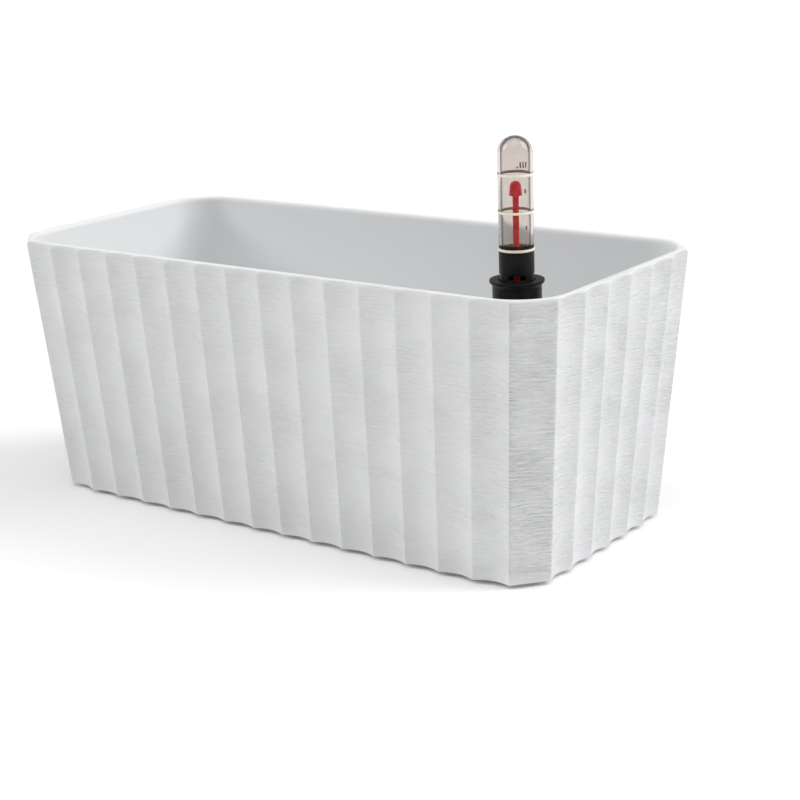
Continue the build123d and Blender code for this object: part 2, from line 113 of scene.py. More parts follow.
def object_coordinates(tree, scale):
    """Object coordinates, scaled along each axis."""
    source = add_node(tree, "ShaderNodeTexCoord")
    mapping = add_node(tree, "ShaderNodeMapping", Vector=source.outputs["Object"], Scale=scale)
    return mapping.outputs["Vector"]


def noise(tree, vector, scale, detail=3.0, roughness=0.5, distortion=0.0):
    """Noise value at a scale per metre."""
    node = add_node(
        tree,
        "ShaderNodeTexNoise",
        Vector=vector,
        Scale=scale,
        Detail=detail,
        Roughness=roughness,
        Distortion=distortion,
    )
    return node.outputs["Fac"]


def remap(tree, value, low, high, new_low, new_high):
    """Value stretched from one range to another, and clamped."""
    node = add_node(tree, "ShaderNodeMapRange", Value=value)
    for key, number in (
        ("From Min", low),
        ("From Max", high),
        ("To Min", new_low),
        ("To Max", new_high),
    ):
        node.inputs[key].default_value = number
    return node.outputs["Result"]


def mix_colour(tree, factor, first, second):
    """Blend of two colours by a factor socket."""
    node = tree.nodes.new("ShaderNodeMix")
    node.data_type = "RGBA"
    tree.links.new(factor, node.inputs["Factor"])
    colours = {"A": (*first, 1), "B": (*second, 1)}
    for socket in node.inputs:
        if socket.type == "RGBA" and socket.name in colours:
            socket.default_value = colours[socket.name]
    return next(socket for socket in node.outputs if socket.type == "RGBA")


def add_bump(tree, shader, height, strength, distance):
    """Bump of a height socket, joined to a shader's normal."""
    bump = add_node(tree, "ShaderNodeBump", Height=height, Distance=distance)
    if isinstance(strength, bpy.types.NodeSocket):
        tree.links.new(strength, bump.inputs["Strength"])
    else:
        bump.inputs["Strength"].default_value = strength
    tree.links.new(bump.outputs["Normal"], shader.inputs["Normal"])


CREPE_RELIEF = 0.00078
CREPE_ON_FACETS = 1.0
CREPE_ON_ENDS = 0.8
CREPE_ON_LONG_SIDES = 0.65


def pot_material():
    """Matte white plastic; its outside is creped in fine wavy lines that run across the flutes."""
    material, tree, shader = new_material("pot_white")
    shader.inputs["IOR"].default_value = 1.48
    mask = add_node(tree, "ShaderNodeAttribute", {"attribute_name": "crepe"}).outputs["Fac"]
    lines = object_coordinates(tree, (150, 150, 1200))
    swell = noise(tree, object_coordinates(tree, (1, 1, 1)), 60, 2)
    bend = add_node(tree, "ShaderNodeVectorMath", {"operation": "SCALE"}, Scale=2.2)
    bend_source = add_node(
        tree, "ShaderNodeTexNoise", Vector=object_coordinates(tree, (1, 1, 1)), Scale=110, Detail=2
    )
    tree.links.new(bend_source.outputs["Color"], bend.inputs[0])
    warped = add_node(tree, "ShaderNodeVectorMath", {"operation": "ADD"})
    tree.links.new(lines, warped.inputs[0])
    tree.links.new(bend.outputs["Vector"], warped.inputs[1])
    crepe = noise(tree, warped.outputs["Vector"], 1.0, 4, 0.6, 0.4)
    ridged = remap(tree, crepe, 0.32, 0.68, 0, 1)
    strength = add_node(tree, "ShaderNodeMath", {"operation": "MULTIPLY"})
    tree.links.new(mask, strength.inputs[0])
    tree.links.new(remap(tree, swell, 0.35, 0.65, 0.7, 1.0), strength.inputs[1])
    add_bump(tree, shader, ridged, strength.outputs[0], CREPE_RELIEF)
    tint = mix_colour(
        tree,
        remap(tree, strength.outputs[0], 0, 0.6, 0, 1),
        (0.775, 0.781, 0.788),
        (0.765, 0.771, 0.781),
    )
    tree.links.new(tint, shader.inputs["Base Color"])
    tree.links.new(remap(tree, crepe, 0.3, 0.7, 0.52, 0.64), shader.inputs["Roughness"])
    return material


def tray_material():
    """Satin moulded plastic with a faint orange peel."""
    material, tree, shader = new_material("tray_satin")
    place = object_coordinates(tree, (1, 1, 1))
    fine = noise(tree, place, 1400, 2)
    broad = noise(tree, place, 40, 3)
    tint = mix_colour(
        tree, remap(tree, broad, 0.35, 0.65, 0, 1), (0.76, 0.765, 0.77), (0.80, 0.805, 0.81)
    )
    tree.links.new(tint, shader.inputs["Base Color"])
    tree.links.new(remap(tree, broad, 0.3, 0.7, 0.38, 0.5), shader.inputs["Roughness"])
    add_bump(tree, shader, fine, 0.25, 0.00006)
    return material


def black_material():
    """Semi-gloss black plastic with faint moulding lines along the tube."""
    material, tree, shader = new_material("gauge_black")
    place = object_coordinates(tree, (1, 1, 0.12))
    streaks = noise(tree, place, 900, 3)
    grain = noise(tree, object_coordinates(tree, (1, 1, 1)), 1800, 2)
    tint = mix_colour(
        tree,
        remap(tree, streaks, 0.3, 0.7, 0, 1),
        (0.0035, 0.0035, 0.004),
        (0.0075, 0.0075, 0.009),
    )
    shader.inputs["Specular IOR Level"].default_value = 0.19
    tree.links.new(tint, shader.inputs["Base Color"])
    tree.links.new(remap(tree, grain, 0.3, 0.7, 0.30, 0.42), shader.inputs["Roughness"])
    add_bump(tree, shader, grain, 0.12, 0.00004)
    return material


def clear_material(name, low, high, painted_edge_shade):
    """Clear plastic with a warm tint that turns darker between two grazing angles, as painted shade
    for the dark refraction lines along its edges.
    """
    material, tree, shader = new_material(name)
    shader.inputs["Transmission Weight"].default_value = 1.0
    shader.inputs["IOR"].default_value = 1.25
    edge = add_node(tree, "ShaderNodeLayerWeight", Blend=0.5).outputs["Facing"]
    # Painted shade: the tint darkens from the middle towards the grazing edges
    tint = mix_colour(tree, remap(tree, edge, low, high, 0, 1), (0.745, 0.700, 0.677), painted_edge_shade)
    tree.links.new(tint, shader.inputs["Base Color"])
    wave = noise(tree, object_coordinates(tree, (1, 1, 0.3)), 220, 2)
    tree.links.new(remap(tree, wave, 0.3, 0.7, 0.01, 0.03), shader.inputs["Roughness"])
    add_bump(tree, shader, wave, 0.05, 0.0001)
    return material


def cream_material():
    """Satin cream band."""
    material, tree, shader = new_material("ring_cream")
    speck = noise(tree, object_coordinates(tree, (1, 1, 1)), 1500, 2)
    tint = mix_colour(
        tree, remap(tree, speck, 0.3, 0.7, 0, 1), (0.84, 0.78, 0.58), (0.90, 0.85, 0.68)
    )
    tree.links.new(tint, shader.inputs["Base Color"])
    shader.inputs["Roughness"].default_value = 0.35
    add_bump(tree, shader, speck, 0.1, 0.00004)
    return material


def red_material():
    """Glossy red plastic."""
    material, tree, shader = new_material("indicator_red")
    speck = noise(tree, object_coordinates(tree, (1, 1, 0.4)), 900, 2)
    tint = mix_colour(
        tree, remap(tree, speck, 0.3, 0.7, 0, 1), (0.90, 0.008, 0.008), (0.98, 0.014, 0.012)
    )
    tree.links.new(tint, shader.inputs["Base Color"])
    tree.links.new(remap(tree, speck, 0.3, 0.7, 0.22, 0.34), shader.inputs["Roughness"])
    shader.inputs["Specular IOR Level"].default_value = 0.3
    return material


def foam_material():
    """Closed-cell foam: off-white, with fine cells."""
    material, tree, shader = new_material("float_foam")
    cells = add_node(
        tree,
        "ShaderNodeTexVoronoi",
        Vector=object_coordinates(tree, (1, 1, 1)),
        Scale=1600,
    ).outputs["Distance"]
    tint = mix_colour(
        tree, remap(tree, cells, 0.0, 0.8, 0, 1), (0.86, 0.85, 0.80), (0.74, 0.73, 0.69)
    )
    tree.links.new(tint, shader.inputs["Base Color"])
    shader.inputs["Roughness"].default_value = 0.8
    add_bump(tree, shader, cells, 0.5, 0.0002)
    return material


def rubber_material():
    """Soft grey rubber with a fine dust-like grain."""
    material, tree, shader = new_material("plug_rubber")
    grain = noise(tree, object_coordinates(tree, (1, 1, 1)), 1300, 4, 0.6)
    tint = mix_colour(
        tree, remap(tree, grain, 0.3, 0.7, 0, 1), (0.24, 0.25, 0.26), (0.32, 0.33, 0.34)
    )
    tree.links.new(tint, shader.inputs["Base Color"])
    shader.inputs["Roughness"].default_value = 0.62
    add_bump(tree, shader, grain, 0.3, 0.00008)
    return material


def mark_material():
    """Dull brown print of the level marks."""
    material, tree, shader = new_material("mark_brown")
    worn = noise(tree, object_coordinates(tree, (1, 1, 1)), 2500, 2)
    tint = mix_colour(
        tree, remap(tree, worn, 0.35, 0.65, 0, 1), (0.10, 0.05, 0.04), (0.18, 0.10, 0.08)
    )
    tree.links.new(tint, shader.inputs["Base Color"])
    shader.inputs["Roughness"].default_value = 0.5
    return material


def floor_material():
    """Plain white studio floor."""
    material, tree, shader = new_material("studio_floor")
    drift = noise(tree, object_coordinates(tree, (1, 1, 1)), 3, 2)
    tint = mix_colour(
        tree, remap(tree, drift, 0.3, 0.7, 0, 1), (0.95, 0.95, 0.95), (0.96, 0.96, 0.96)
    )
    tree.links.new(tint, shader.inputs["Base Color"])
    shader.inputs["Roughness"].default_value = 0.9
    shader.inputs["Specular IOR Level"].default_value = 0.1
    return material


POT_WHITE = pot_material()
TRAY_SATIN = tray_material()
GAUGE_BLACK = black_material()
# Both clear materials carry painted shade at grazing angles; the inner skin's is painted near black
# for the dark lines along the tube's sides
GAUGE_CLEAR = clear_material("gauge_clear", 0.4, 0.95, (0.60, 0.55, 0.53))
GAUGE_CLEAR_INNER = clear_material("gauge_clear_inner", 0.42, 0.6, (0.07, 0.06, 0.055))
RING_CREAM = cream_material()
INDICATOR_RED = red_material()
FLOAT_FOAM = foam_material()
PLUG_RUBBER = rubber_material()
MARK_BROWN = mark_material()

# ---------------------------------------------------------------------------------------
# Mesh helpers
# ---------------------------------------------------------------------------------------


def to_object(bm, name, material, smooth_degrees=40.0):
    """Object of a finished bmesh, smooth except over sharp edges and round large flat faces."""
    bmesh.ops.recalc_face_normals(bm, faces=bm.faces)
    for face in bm.faces:
        face.smooth = True
    for edge in bm.edges:
        if len(edge.link_faces) == 2:
            angle = edge.calc_face_angle()
            borders_flat = any(len(face.verts) > 6 for face in edge.link_faces)
            limit = 3.0 if borders_flat else smooth_degrees
            edge.smooth = angle < math.radians(limit)
    mesh = bpy.data.meshes.new(name)
    bm.to_mesh(mesh)
    bm.free()
    mesh.materials.append(material)
    piece = bpy.data.objects.new(name, mesh)
    bpy.context.scene.collection.objects.link(piece)
    return piece


def bridge(bm, lower, upper):
    """Quads between two closed loops with the same number of vertices."""
    count = len(lower)
    for index in range(count):
        following = (index + 1) % count
        bm.faces.new((lower[index], lower[following], upper[following], upper[index]))


def stand_for(piece, body, slot, *nodes):
    """Rides a piece on its body, in place of CAD nodes."""
    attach(piece, body)
    if nodes:
        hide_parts(*nodes)
    return piece


# ---------------------------------------------------------------------------------------
# Pot
# ---------------------------------------------------------------------------------------

FLUTE_STEPS = (0.0, 0.035, 0.1, 0.2, 0.35, 0.5, 0.65, 0.8, 0.9, 0.965)
RIDGE_ROUND = 0.12 * MM


def between(base, top, height):
    """Value at a height of something that changes evenly from the base to the shoulder."""
    return base + (top - base) * min(height / SHOULDER, 1.0)


def wall_sizes(height):
    """Half length, half width and corner radius over the ridges at a height."""
    return (
        between(BASE_HALF_LENGTH, TOP_HALF_LENGTH, height),
        between(BASE_HALF_WIDTH, TOP_HALF_WIDTH, height),
        between(BASE_CORNER, TOP_CORNER, height),
    )


def path_point(share, half_long, half_short, corner):
    """Point on the -Y side of a rounded rectangle, at a share of the way between corner middles."""
    quarter = math.pi / 4 * corner
    straight = 2 * (half_long - corner)
    travel = share * (2 * quarter + straight)
    if travel < quarter:
        angle = math.pi / 4 + travel / corner
        return (
            -half_long + corner - corner * math.cos(angle),
            -half_short + corner - corner * math.sin(angle),
        )
    if travel < quarter + straight:
        return -half_long + corner + travel - quarter, -half_short
    angle = (travel - quarter - straight) / corner
    return (
        half_long - corner + corner * math.sin(angle),
        -half_short + corner - corner * math.cos(angle),
    )


def side_point(side, share, half_length, half_width, corner):
    """Point on one of the four sides: 0 front, 1 right, 2 back, 3 left."""
    if side % 2 == 0:
        x, y = path_point(share, half_length, half_width, corner)
    else:
        along, across = path_point(share, half_width, half_length, corner)
        x, y = -across, along
    return (x, y) if side < 2 else (-x, -y)


def flutes_on(side):
    """Number of flutes on a side."""
    return SHORT_FLUTES if side % 2 else LONG_FLUTES


def facet_share(side, height, inset=0.0):
    """Share of a side's outline that half a corner facet takes at each of its ends."""
    half_length, half_width, corner = (size - inset for size in wall_sizes(height))
    half_side = half_width if side % 2 else half_length
    outline = 2 * (half_side - corner) + math.pi / 2 * corner
    base = BASE_HALF_FACET_SHORT if side % 2 else BASE_HALF_FACET_LONG
    return between(base, TOP_HALF_FACET, height) / outline


def outline_shares(height, inset=0.0):
    """(side, share, part of its flute, is_flute) of each point round the outline."""
    places = []
    for side in range(4):
        flutes = flutes_on(side)
        facet = facet_share(side, height, inset)
        next_side = (side + 1) % 4
        next_facet = facet_share(next_side, height, inset)
        for flute in range(flutes):
            for part in FLUTE_STEPS:
                share = facet + (1 - 2 * facet) * (flute + part) / flutes
                places.append((side, share, part, True))
        for part in FLUTE_STEPS:
            if part < 0.5:
                places.append((side, 1 - facet * (1 - 2 * part), part, False))
            else:
                places.append((next_side, next_facet * (2 * part - 1), part, False))
    return places


def plain_loop(half_length, half_width, corner, height):
    """Smooth rounded rectangle with one point for each point of the fluted outline."""
    return [
        side_point(side, share, half_length, half_width, corner)
        for side, share, _, _ in outline_shares(height)
    ]


def fluted_loop(height, inset=0.0, fade=0.0):
    """Fluted outline at a height: concave flutes between rounded ridges, flat corner facets."""
    sizes = [size - inset for size in wall_sizes(height)]
    depth = FLUTE_DEPTH * (1 - fade)
    places = outline_shares(height, inset)
    ridges = [
        Vector(side_point(side, share, *sizes)) for side, share, part, _ in places if part == 0.0
    ]
    points = []
    for index, (_, _, part, is_flute) in enumerate(places):
        ridge = index // len(FLUTE_STEPS)
        start = ridges[ridge]
        end = ridges[(ridge + 1) % len(ridges)]
        run = end - start
        inward = Vector((-run.y, run.x)).normalized()
        sag = 4 * depth * part * (1 - part) if is_flute else 0.0
        point = start + run * part + inward * sag
        if part == 0.0:
            before = ridges[ridge - 1]
            tip = (run.normalized() + (before - start).normalized()).normalized()
            point = start + (tip if tip.dot(-start) > 0 else -tip) * RIDGE_ROUND
        points.append((point.x, point.y))
    return points


def ring_of(bm, points, height):
    """Vertices of a level loop."""
    return [bm.verts.new((x, y, height)) for x, y in points]


def circle_points(centre, radius, count):
    """Points of a circle."""
    return [
        (
            centre[0] + radius * math.cos(2 * math.pi * index / count),
            centre[1] + radius * math.sin(2 * math.pi * index / count),
        )
        for index in range(count)
    ]


def loop_edges(loop):
    """Edges between the neighbours of a closed loop of vertices."""
    pairs = zip(loop, loop[1:] + loop[:1])
    return [next(edge for edge in a.link_edges if b in edge.verts) for a, b in pairs]


def build_pot():
    """The whole pot as one closed surface, from the foot up the outside and down the inside."""
    bm = bmesh.new()
    crepe = bm.verts.layers.float.new("crepe")
    relief = [
        (CREPE_ON_ENDS if side % 2 else CREPE_ON_LONG_SIDES) if is_flute else CREPE_ON_FACETS
        for side, _, _, is_flute in outline_shares(0.0)
    ]
    loops = []

    def add(points, height, rough=0.0):
        """Adds a level loop whose crepe has a strength from 0 to 1."""
        loop = ring_of(bm, points, height)
        for vertex, share in zip(loop, relief):
            vertex[crepe] = rough * share
        loops.append(loop)

    # Foot ring
    half_length = BASE_HALF_LENGTH - FOOT_INSET
    half_width = BASE_HALF_WIDTH - FOOT_INSET
    corner = BASE_CORNER - FOOT_INSET

    def foot(inset, height):
        """Adds a loop of the foot ring, inset from its outside."""
        sizes = (size - inset for size in (half_length, half_width, corner))
        add(plain_loop(*sizes, 0.0), height)

    foot(FOOT_WIDTH, FOOT_HEIGHT)
    foot(FOOT_WIDTH, FOOT_EASE)
    foot(FOOT_WIDTH - FOOT_EASE, 0.0)
    foot(FOOT_EASE, 0.0)
    foot(0.0, FOOT_EASE)
    foot(0.0, FOOT_HEIGHT)
    # Lower edge of the wall, and the fluted wall
    edge = LOWER_EDGE
    add(fluted_loop(FOOT_HEIGHT, edge), FOOT_HEIGHT)
    for step in (1, 2, 3):
        angle = math.pi / 6 * step
        height = FOOT_HEIGHT + edge * (1 - math.cos(angle))
        add(fluted_loop(height, edge * (1 - math.sin(angle))), height, 0.5 * step / 3)
    rows = 24
    for row in range(1, rows + 1):
        height = FOOT_HEIGHT + edge + (SHOULDER - FOOT_HEIGHT - edge) * row / rows
        add(fluted_loop(height), height, 1.0)
    # Rounded outer edge of the rim
    rim_steps = 7
    for step in range(1, rim_steps + 1):
        angle = math.pi / 2 * step / rim_steps
        inset = RIM_INSET * (1 - math.cos(angle))
        height = SHOULDER + RIM_BEVEL * math.sin(angle)
        points = fluted_loop(SHOULDER, inset, RIM_FADE * math.sin(angle))
        add(points, height, 1.0 - (step / rim_steps) ** 3)
    # Rounded inner edge of the rim
    inner_length = TOP_HALF_LENGTH - WALL
    inner_width = TOP_HALF_WIDTH - WALL
    lip_steps = 6
    for step in range(lip_steps + 1):
        angle = math.pi / 2 * step / lip_steps
        grow = RIM_LIP * (1 - math.sin(angle))
        height = POT_HEIGHT - RIM_LIP_HEIGHT * (1 - math.cos(angle))
        sizes = (size + grow for size in (inner_length, inner_width, CAVITY_CORNER))
        add(plain_loop(*sizes, SHOULDER), height)
    # Inner wall down to the floor
    inner_rows = 16
    wall_top = POT_HEIGHT - RIM_LIP_HEIGHT
    for row in range(1, inner_rows + 1):
        height = wall_top + (FLOOR_TOP + COVE - wall_top) * row / inner_rows
        length, width, _ = wall_sizes(height)
        add(plain_loop(length - WALL, width - WALL, CAVITY_CORNER, height), height)
    for step in range(1, 5):
        angle = math.pi / 2 * step / 4
        height = FLOOR_TOP + COVE * (1 - math.sin(angle))
        length, width, _ = wall_sizes(height)
        inset = WALL + COVE * (1 - math.cos(angle))
        corner = CAVITY_CORNER - COVE * (1 - math.cos(angle))
        add(plain_loop(length - inset, width - inset, corner, height), height)
    for lower, upper in zip(loops, loops[1:]):
        bridge(bm, lower, upper)
    # Drain hole, base and floor
    drain_count = 48
    hole_bottom = ring_of(bm, circle_points(DRAIN_CENTRE, DRAIN_RADIUS, drain_count), FOOT_HEIGHT)
    hole_top = ring_of(bm, circle_points(DRAIN_CENTRE, DRAIN_RADIUS, drain_count), FLOOR_TOP)
    bridge(bm, hole_bottom, hole_top)
    for outer, hole in ((loops[0], hole_bottom), (loops[-1], hole_top)):
        edges = loop_edges(outer) + loop_edges(hole)
        bmesh.ops.triangle_fill(bm, use_beauty=True, edges=edges)
    pot = to_object(bm, "pot", POT_WHITE, 50.0)
    return stand_for(pot, "pot", "pot_plastic", "pot_shell")


build_pot()

# ---------------------------------------------------------------------------------------
# Turned pieces of the gauge
# ---------------------------------------------------------------------------------------

TURN_STEPS = 96


def soften(profile, radius, steps=3):
    """Profile with its corners off the axis rounded."""
    points = []
    for index, corner in enumerate(profile):
        here = Vector(corner)
        towards_before = Vector(profile[index - 1]) - here
        towards_after = Vector(profile[(index + 1) % len(profile)]) - here
        flat = towards_before.angle(towards_after) > math.radians(160)
        if here.x == 0 or flat:
            points.append(corner)
            continue
        reach = min(radius, towards_before.length * 0.4, towards_after.length * 0.4)
        first = here + towards_before.normalized() * reach
        last = here + towards_after.normalized() * reach
        for step in range(steps + 1):
            share = step / steps
            point = first.lerp(here, share).lerp(here.lerp(last, share), share)
            points.append((point.x, point.y))
    return points


def lathe(profile):
    """Closed profile of (radius, height) points, in millimetres, turned about the gauge's axis."""
    bm = bmesh.new()
    rings = []
    for radius, height in profile:
        if radius == 0:
            rings.append([bm.verts.new((GAUGE.x, GAUGE.y, height * MM))])
        else:
            rings.append(ring_of(bm, circle_points(GAUGE, radius * MM, TURN_STEPS), height * MM))
    for index, ring in enumerate(rings):
        following = rings[(index + 1) % len(rings)]
        if len(ring) == 1 and len(following) == 1:
            continue
        if len(ring) == 1 or len(following) == 1:
            tip, loop = (ring[0], following) if len(ring) == 1 else (following[0], ring)
            for step, vertex in enumerate(loop):
                bm.faces.new((tip, vertex, loop[(step + 1) % len(loop)]))
        else:
            bridge(bm, ring, following)
    return bm


def turned(name, node, body, slot, material, profile):
    """Turned piece that stands for a CAD node."""
    piece = to_object(lathe(profile), name, material)
    return stand_for(piece, body, slot, node)


def arc(centre, radius, start, end, steps):
    """Points of an arc in a profile; angles in degrees from the radius towards the axis."""
    points = []
    for step in range(steps + 1):
        angle = math.radians(start + (end - start) * step / steps)
        radial = radius * math.cos(angle)
        points.append((0 if abs(radial) < 1e-6 else radial, centre + radius * math.sin(angle)))
    return points


def ease_edges(bm, width, angle=25.0):
    """Rounds a mesh's sharp edges."""
    sharp = [
        edge
        for edge in bm.edges
        if len(edge.link_faces) == 2 and edge.calc_face_angle() > math.radians(angle)
    ]
    bmesh.ops.bevel(
        bm,
        geom=sharp,
        offset=width,
        offset_type="OFFSET",
        segments=2,
        profile=0.5,
        affect="EDGES",
        clamp_overlap=True,
    )


def pierced_tube(rows, first_open, last_open, count, half_width, turn):
    """Tube with a ring of straight-sided openings between two rows.

    Each row is the outside's (radius, height) and the inside's, in millimetres.
    """
    bm = bmesh.new()
    open_steps = 6
    solid_steps = 60 // count

    def column_angles(radius):
        """Angle of each column, with straight sides to the openings at any radius."""
        half = math.degrees(math.asin(half_width / radius))
        gap = 360 / count - 2 * half
        angles = []
        for opening in range(count):
            start = turn + 360 / count * opening - half
            angles += [start + 2 * half * step / open_steps for step in range(open_steps)]
            angles += [start + 2 * half + gap * step / solid_steps for step in range(solid_steps)]
        return [math.radians(angle) for angle in angles]

    def skin(side):
        """Loops of the outside (0) or the inside (1)."""
        loops = []
        for row in rows:
            radius, height = row[side]
            loops.append(
                [
                    bm.verts.new(
                        (
                            GAUGE.x + radius * MM * math.cos(angle),
                            GAUGE.y + radius * MM * math.sin(angle),
                            height * MM,
                        )
                    )
                    for angle in column_angles(radius)
                ]
            )
        return loops

    outer, inner = skin(0), skin(1)
    columns = len(outer[0])

    def solid(row, column):
        """Whether the tube has wall at a row and column."""
        if not 0 <= row < len(rows) - 1:
            return False
        in_opening = column % columns % (open_steps + solid_steps) < open_steps
        return not (in_opening and first_open <= row < last_open)

    for row in range(len(rows) - 1):
        for column in range(columns):
            if not solid(row, column):
                continue
            after = (column + 1) % columns
            for loops in (outer, inner):
                low_loop, high_loop = loops[row], loops[row + 1]
                bm.faces.new(
                    (low_loop[column], low_loop[after], high_loop[after], high_loop[column])
                )
            for other, start, end in (
                ((row - 1, column), (row, column), (row, after)),
                ((row + 1, column), (row + 1, column), (row + 1, after)),
                ((row, column - 1), (row, column), (row + 1, column)),
                ((row, column + 1), (row, after), (row + 1, after)),
            ):
                if not solid(*other):
                    bm.faces.new(
                        (
                            outer[start[0]][start[1]],
                            outer[end[0]][end[1]],
                            inner[end[0]][end[1]],
                            inner[start[0]][start[1]],
                        )
                    )
    bmesh.ops.recalc_face_normals(bm, faces=bm.faces)
    return bm


# Heights and radii of the gauge, in millimetres
TUBE = 6.75
BORE = 5.65
TRAY_TOP = 44.4
SLEEVE_TOP = 114.0
SLEEVE_BORE = 7.9
SLEEVE_RADIUS = 9.45
FLANGE_RADIUS = 10.55
FLANGE_THICKNESS = 1.0
FLARE_DROP = 2.2
GUIDE_BORE = 7.1
GUIDE_DEPTH = 2.5
CAGE_RADIUS = 6.2
CAGE_BOTTOM = 7.4
CAGE_TOP = 50.4
SLOT_LOW = 12.0
SLOT_HIGH = 38.0
SLOT_HALF_WIDTH = 1.5
SLOT_COUNT = 6
SOCKET_RADIUS = CAGE_RADIUS + 0.05
SOCKET_TOP = 50.6
BODY_TOP = 125.2
WINDOW_LOW = 114.3
WINDOW_HIGH = 116.3
WINDOW_HALF_WIDTH = 3.2
WINDOW_COUNT = 4
WINDOW_TURN = -57.0
RING = 1.0
RING_OUTER = 7.0
RING_SEAT = 6.45
RING_MIDDLES = (140.0, 154.1)
DOME_TOP = 168.4
DOME_WALL = 1.1
CROWN_WALL = 0.6
CROWN = DOME_TOP - TUBE
SHOULDER_TOP = BODY_TOP + RING
SKIRT_BOTTOM = 119.0
SKIRT_BORE = 4.5
SKIRT_RADIUS = 5.6
ROD_GUIDE_BORE = 1.6
ROD_GUIDE_LOW = 116.8
ROD_GUIDE_HIGH = 118.9
ROD_RADIUS = 1.2
ROD_BOTTOM = 32.8
ROD_TOP = 148.8
ROD_SOCKET = 1.25
HEAD_BOTTOM = 146.0
HEAD_CHEEK = 149.35
HEAD_RADIUS = 2.15
HEAD_FOOT_RADIUS = 2.45
FLOAT_RADIUS = 5.2
CLIP_RADIUS = 2.8
CLIP_HEIGHT = 1.6
CLIP_FLOOR = 0.5

turned(
    "sleeve",
    "gauge_sleeve",
    "tray",
    "gauge_black",
    GAUGE_BLACK,
    soften(
        [
            (SLEEVE_BORE, TRAY_TOP),
            (SLEEVE_RADIUS, TRAY_TOP),
            (SLEEVE_RADIUS, SLEEVE_TOP - FLARE_DROP),
            (FLANGE_RADIUS, SLEEVE_TOP - FLANGE_THICKNESS),
            (FLANGE_RADIUS, SLEEVE_TOP),
            (GUIDE_BORE, SLEEVE_TOP),
            (GUIDE_BORE, SLEEVE_TOP - GUIDE_DEPTH),
            (SLEEVE_BORE, SLEEVE_TOP - GUIDE_DEPTH),
        ],
        0.2,
    ),
)

body_rows = (
    ((TUBE, TRAY_TOP), (SOCKET_RADIUS, TRAY_TOP)),
    ((TUBE, SOCKET_TOP - 1), (SOCKET_RADIUS, SOCKET_TOP)),
    ((TUBE, SOCKET_TOP + 1), (BORE, SOCKET_TOP)),
    ((TUBE, WINDOW_LOW), (BORE, WINDOW_LOW)),
    ((TUBE, WINDOW_HIGH), (BORE, WINDOW_HIGH)),
    ((TUBE, BODY_TOP), (BORE, BODY_TOP)),
)
body_mesh = pierced_tube(body_rows, 3, 4, WINDOW_COUNT, WINDOW_HALF_WIDTH, WINDOW_TURN)
ease_edges(body_mesh, 0.2 * MM)
stand_for(
    to_object(body_mesh, "gauge-body", GAUGE_BLACK), "gauge", "gauge_black", "gauge_body"
)

cage_rows = (
    ((CAGE_RADIUS, CAGE_BOTTOM), (BORE, CAGE_BOTTOM)),
    ((CAGE_RADIUS, SLOT_LOW), (BORE, SLOT_LOW)),
    ((CAGE_RADIUS, SLOT_HIGH), (BORE, SLOT_HIGH)),
    ((CAGE_RADIUS, CAGE_TOP), (BORE, CAGE_TOP)),
)
cage_mesh = pierced_tube(cage_rows, 1, 2, SLOT_COUNT, SLOT_HALF_WIDTH, 0.0)
ease_edges(cage_mesh, 0.15 * MM)
stand_for(to_object(cage_mesh, "float-cage", GAUGE_BLACK), "gauge", "gauge_black", "float_cage")

dome_profile = [
    (SKIRT_BORE, SKIRT_BOTTOM),
    (SKIRT_RADIUS, SKIRT_BOTTOM),
    (SKIRT_RADIUS, SHOULDER_TOP),
    (TUBE, SHOULDER_TOP),
]
for middle in RING_MIDDLES:
    low, high = middle - RING / 2, middle + RING / 2
    dome_profile += [(TUBE, low), (RING_SEAT - 0.05, low), (RING_SEAT - 0.05, high), (TUBE, high)]
dome_profile += arc(CROWN, TUBE, 0, 90, 20)
inner_stretch = (TUBE - CROWN_WALL) / (TUBE - DOME_WALL)
dome_profile += [
    (radius, CROWN + (height - CROWN) * inner_stretch)
    for radius, height in arc(CROWN, TUBE - DOME_WALL, 90, 0, 20)
]
dome_profile += [(TUBE - DOME_WALL, SHOULDER_TOP + 1.2), (SKIRT_BORE, SHOULDER_TOP)]
dome = turned("dome", "gauge_dome", "gauge", "gauge_clear", GAUGE_CLEAR, dome_profile)
# The dome's inner skin takes the clear material whose grazing edges are painted near black: painted
# dark lines along the dome's sides
dome.data.materials.append(GAUGE_CLEAR_INNER)
for face in dome.data.polygons:
    outward = face.center - Vector((GAUGE.x, GAUGE.y, CROWN * MM))
    if face.center.z < CROWN * MM:
        outward.z = 0.0
    face.material_index = int(face.normal.dot(outward) < 0 and face.center.z > SHOULDER_TOP * MM)


def level_ring(name, node, inner, middle):
    """Cream band with rounded edges."""
    low, high = middle - RING / 2, middle + RING / 2
    band = [(inner, low), (RING_OUTER, low), (RING_OUTER, high), (inner, high)]
    turned(name, node, "gauge", "ring_cream", RING_CREAM, soften(band, 0.22))


level_ring("ring-min", "level_ring_min", BORE, BODY_TOP + RING / 2)
level_ring("ring-mid", "level_ring_mid", RING_SEAT, RING_MIDDLES[0])
level_ring("ring-max", "level_ring_max", RING_SEAT, RING_MIDDLES[1])

turned(
    "rod-guide",
    "rod_guide",
    "gauge",
    "gauge_black",
    GAUGE_BLACK,
    soften(
        [
            (ROD_GUIDE_BORE, ROD_GUIDE_LOW),
            (SKIRT_RADIUS, ROD_GUIDE_LOW),
            (SKIRT_RADIUS, ROD_GUIDE_HIGH),
            (ROD_GUIDE_BORE, ROD_GUIDE_HIGH),
        ],
        0.3,
    ),
)

turned(
    "rod",
    "indicator_rod",
    "float",
    "indicator_red",
    INDICATOR_RED,
    soften(
        [(0, ROD_BOTTOM), (ROD_RADIUS, ROD_BOTTOM), (ROD_RADIUS, ROD_TOP), (0, ROD_TOP)], 0.25
    ),
)

